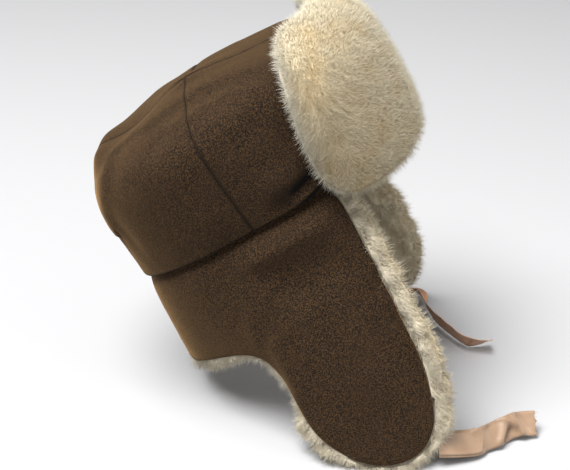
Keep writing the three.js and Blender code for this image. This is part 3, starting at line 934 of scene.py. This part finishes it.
def press_on_floor(piece):
    """Lays whatever reaches through the floor flat on it."""
    lowest = FLOOR_HEIGHT + FLOOR_CLEARANCE
    for vertex in piece.data.vertices:
        if vertex.co.z < lowest:
            vertex.co.z = lowest + FLATTENED_TO * (vertex.co.z - lowest)
    piece.data.update()


# %% [markdown]
# ## The visor's wool
#
# The wool of the visor is the deepest on the hat. It stands nearly straight out from the skin and
# fans out over the cloth at its edges, so it is combed only a little.

# %% Visor wool
visor_body = soft_copy("visor_fleece", "visor_fleece_body", 2)
visor_cover = surface_of("visor_cloth", "crown_front_right", "crown_front_left", "flap_cloth")
prepare_skin(visor_body, visor_cover, bare_within=1.2, full_from=4, depth=3,
             lump={"size": 17, "height": 1.4}, comb={"away": 0.25, "down": 0.1}, inside_share=1)
visor_wool = grow_wool("visor_fleece_wool", visor_body, density=1500000, lock_size=5 * MM,
                       lock_pull=0.2, sway=0.6, seed=11)
for piece in visor_wool:
    finish_piece(piece, visor_fleece_material, "fleece")
finish_piece(visor_body, visor_fleece_material, "fleece", "visor_fleece")

# %% [markdown]
# ## The flaps' wool
#
# The wool inside the flap panel shows past its hem as a fringe. It is clumped into locks and
# combed away from the hem, and its body has lumps, so that the fringe's outline is uneven.

# %% Flap wool
flap_body = soft_copy("flap_fleece", "flap_fleece_body", 2)
flap_cover = surface_of("flap_cloth", "crown_front_right", "crown_front_left", "crown_back_right",
                        "crown_back_left", "tie_right", "tie_left")
prepare_skin(flap_body, flap_cover, bare_within=0.3, full_from=1.2, depth=2.2,
             lump={"size": 12, "height": 5.0}, comb={"away": 0.75, "down": 0.15}, inside_share=0.3)
flap_wool = grow_wool("flap_fleece_wool", flap_body, density=1250000, lock_size=7 * MM,
                      lock_pull=0.5, sway=0.8, seed=23)
for piece in (flap_body, *flap_wool):
    press_on_floor(piece)
for piece in flap_wool:
    finish_piece(piece, flap_fleece_material, "fleece")
finish_piece(flap_body, flap_fleece_material, "fleece", "flap_fleece")

# %% [markdown]
# ## The ties
#
# Each tie is a strip of satin ribbon, 21 mm wide, that twists and creases on its way from the
# flap's tip. A curve with a bevel would give a strip too, but no creases. Here a flat grid is
# carried along a smooth curve through the rows of a table, which are the rows of the CAD solid
# with finer leans. The near tie starts a little further in, under the wool. Small folds are
# pressed in on the flat ribbon's own plane, and Solidify gives the strip its thickness.

# %% The ribbon's course
RIBBON_WIDTH = 21 * MM
RIBBON_THICKNESS = 0.45 * MM
RIBBON_LANES = 10
RIBBON_RIPPLE = (9, 0.5, 7)
COURSE_STEP = 0.02


def between_rows(rows, share):
    """The values of a table's rows at a share of its length, on a smooth curve."""
    place = min(max(share, 0), 1) * (len(rows) - 1)
    index = min(int(place), len(rows) - 2)
    t = place - index
    near = [rows[min(max(index + step, 0), len(rows) - 1)] for step in (-1, 0, 1, 2)]
    return [0.5 * (2 * b + (c - a) * t + (2 * a - 5 * b + 4 * c - d) * t ** 2
                   + (3 * b - a - 3 * c + d) * t ** 3) for a, b, c, d in zip(*near)]


def ribbon_axes(rows, share, side):
    """The middle, the way along, the way across and the way up of a ribbon at a share."""
    x, y, z, lean = between_rows(rows, share)
    before, after = (Vector(between_rows(rows, share + step)[:3])
                     for step in (-COURSE_STEP, COURSE_STEP))
    ahead = (after - before).normalized()
    level = Vector((ahead.y, -ahead.x, 0)).normalized()
    across = Matrix.Rotation(math.radians(lean) * side, 3, ahead) @ level
    return Vector((x, y, z)) * MM, ahead, across, across.cross(ahead).normalized()


print("a ribbon is", round(RIBBON_WIDTH / MM, 1), "mm wide, in", RIBBON_LANES, "lanes")


# %% A ribbon
FRAY = {"from": 0.97, "height": 2.4, "pace": 7}


def make_ribbon(name, rows, side, length, folds, steps=64, cut=None):
    """A creased strip through the rows of a table. Its flat plane has the way along as x and the
    way across as y, in millimetres. A cut shortens it differently across its width, and an end
    that isn't cut so is uneven, because it frays."""
    bm = bmesh.new()
    uv = bm.loops.layers.uv.new("flat")
    bmesh.ops.create_grid(bm, x_segments=steps, y_segments=RIBBON_LANES, size=0.5)
    for vertex in bm.verts:
        share, t = vertex.co.x + 0.5, 2 * vertex.co.y
        if cut:
            share *= cut(t)
        for loop in vertex.link_loops:
            loop[uv].uv = (share * length, t * RIBBON_WIDTH / 2)
        middle, ahead, across, up = ribbon_axes(rows, share, side)
        flat = Vector((share * length / MM, t * RIBBON_WIDTH / 2 / MM, 0))
        rise = fold_height(flat, folds) + ripple(flat, *RIBBON_RIPPLE)
        fray = 0 if cut else FRAY["height"] * fade(share, FRAY["from"], 1) * noise.noise(
            Vector((t * FRAY["pace"], 3, 1)))
        vertex.co = middle + across * t * RIBBON_WIDTH / 2 + up * rise * MM + ahead * fray * MM
    piece = link(bpy.data.objects.new(name, mesh_from(bm, name)))
    thicken = piece.modifiers.new("thicken", "SOLIDIFY")
    thicken.thickness = RIBBON_THICKNESS
    thicken.offset = 0
    apply_modifiers(piece)
    piece.data.shade_smooth()
    return piece


# %% Loose threads
THREAD_LENGTHS = (1.5, 4.5)
THREAD_RADII = (0.14 * MM, 0.05 * MM)
THREAD_SPREAD = {"width": 0.96, "inside": 0.8 * MM, "across": 0.5, "up": 0.3}


def make_threads(name, rows, side, count, seed):
    """Loose threads at a ribbon's cut end."""
    draw = random.Random(seed)
    bm = bmesh.new()
    bm.loops.layers.uv.new("flat")
    middle, ahead, across, up = ribbon_axes(rows, 1, side)
    for number in range(count):
        reach = draw.uniform(*THREAD_LENGTHS) * MM
        way = (ahead + across * draw.uniform(-THREAD_SPREAD["across"], THREAD_SPREAD["across"])
               + up * draw.uniform(-THREAD_SPREAD["up"], THREAD_SPREAD["up"]))
        lane = number / (count - 1) - 0.5
        root = (middle + across * RIBBON_WIDTH * lane * THREAD_SPREAD["width"]
                - ahead * THREAD_SPREAD["inside"])
        turn = way.to_track_quat("Z", "Y").to_matrix().to_4x4()
        centre = Matrix.Translation(root + way.normalized() * reach / 2)
        bmesh.ops.create_cone(bm, cap_ends=True, segments=4, radius1=THREAD_RADII[0],
                              radius2=THREAD_RADII[1], depth=reach, matrix=centre @ turn)
    return link(bpy.data.objects.new(name, mesh_from(bm, name)))


# %% The near tie
NEAR_TIE = [
    # middle in the frame's millimetres, and the lean of the width in degrees
    (-133.4, -200.4, -258.2, 44), (-124, -228.6, -264.3, 42), (-117, -240.6, -264.3, 60),
    (-109, -252.6, -264.8, 52), (-100, -264.6, -264.3, 60), (-96, -274.6, -264.3, 40),
    (-94, -286.6, -265.3, 48),
]
NEAR_LENGTH = 96 * MM
NEAR_FOLDS = fold_table([
    # on the flat ribbon: along it from the flap and across it from its middle
    ((42, 11, 0), (60, -5, 0), 2.8, 4.0),
    ((50, 11, 0), (66, 0, 0), 2.4, -3.4),
    ((56, -11, 0), (72, 3, 0), 3.2, 3.4),
    ((66, -12, 0), (80, 12, 0), 3.2, 4.4),
    ((74, -12, 0), (90, 10, 0), 4, -2.4),
    ((34, -6, 0), (60, -10, 0), 3, -2.6),
])
LAP_LIFT = 1.7
LAP_WAY = (0.6, 0.75)
LAP_LEAN = 3
LAP_END = {"share": 0.36, "slant": 0.12, "point": -0.15}


def lap_end(t):
    """Where the lap ends, as a share of the ribbon's length, from one edge (-1) to the other."""
    return LAP_END["share"] - LAP_END["slant"] * abs(t - LAP_END["point"])


near_tie = make_ribbon("tie_right_ribbon", NEAR_TIE, 1, NEAR_LENGTH, NEAR_FOLDS)
lap_rows = [(x + LAP_WAY[0] * LAP_LIFT, y, z + LAP_WAY[1] * LAP_LIFT, lean - LAP_LEAN)
            for x, y, z, lean in NEAR_TIE]
near_lap = make_ribbon("tie_right_lap", lap_rows, 1, NEAR_LENGTH, [], steps=30, cut=lap_end)
near_threads = make_threads("tie_right_threads", NEAR_TIE, 1, count=18, seed=5)
finish_piece(near_tie, ribbon_material, "ribbon", "tie_right")
for piece in (near_lap, near_threads):
    finish_piece(piece, ribbon_material, "ribbon")

# %% The far tie
FAR_TIE = [
    (136.9, -194.6, -273, 0), (131, -207.6, -268.3, 6), (116, -211.6, -264.8, 60),
    (95, -215.6, -264.8, 66), (77, -220.6, -264.8, 65), (63, -227.6, -264.8, 64),
    (49, -235.6, -265.3, 62), (36, -245.6, -266.3, 56), (34, -256.6, -266.3, 44),
    (34, -267.6, -264.3, 32),
]
FAR_LENGTH = 152 * MM
FAR_FOLDS = fold_table([
    ((30, -8, 0), (52, 4, 0), 4, 1.0),
    ((70, 8, 0), (92, -4, 0), 4, -1.0),
    ((118, -9, 0), (126, 9, 0), 3, 1.6),
])
far_tie = make_ribbon("tie_left_ribbon", FAR_TIE, -1, FAR_LENGTH, FAR_FOLDS, steps=90)
far_threads = make_threads("tie_left_threads", FAR_TIE, -1, count=14, seed=6)
# the far tie takes the darker satin: painted shade
finish_piece(far_tie, shaded_ribbon_material, "ribbon", "tie_left")
finish_piece(far_threads, shaded_ribbon_material, "ribbon")
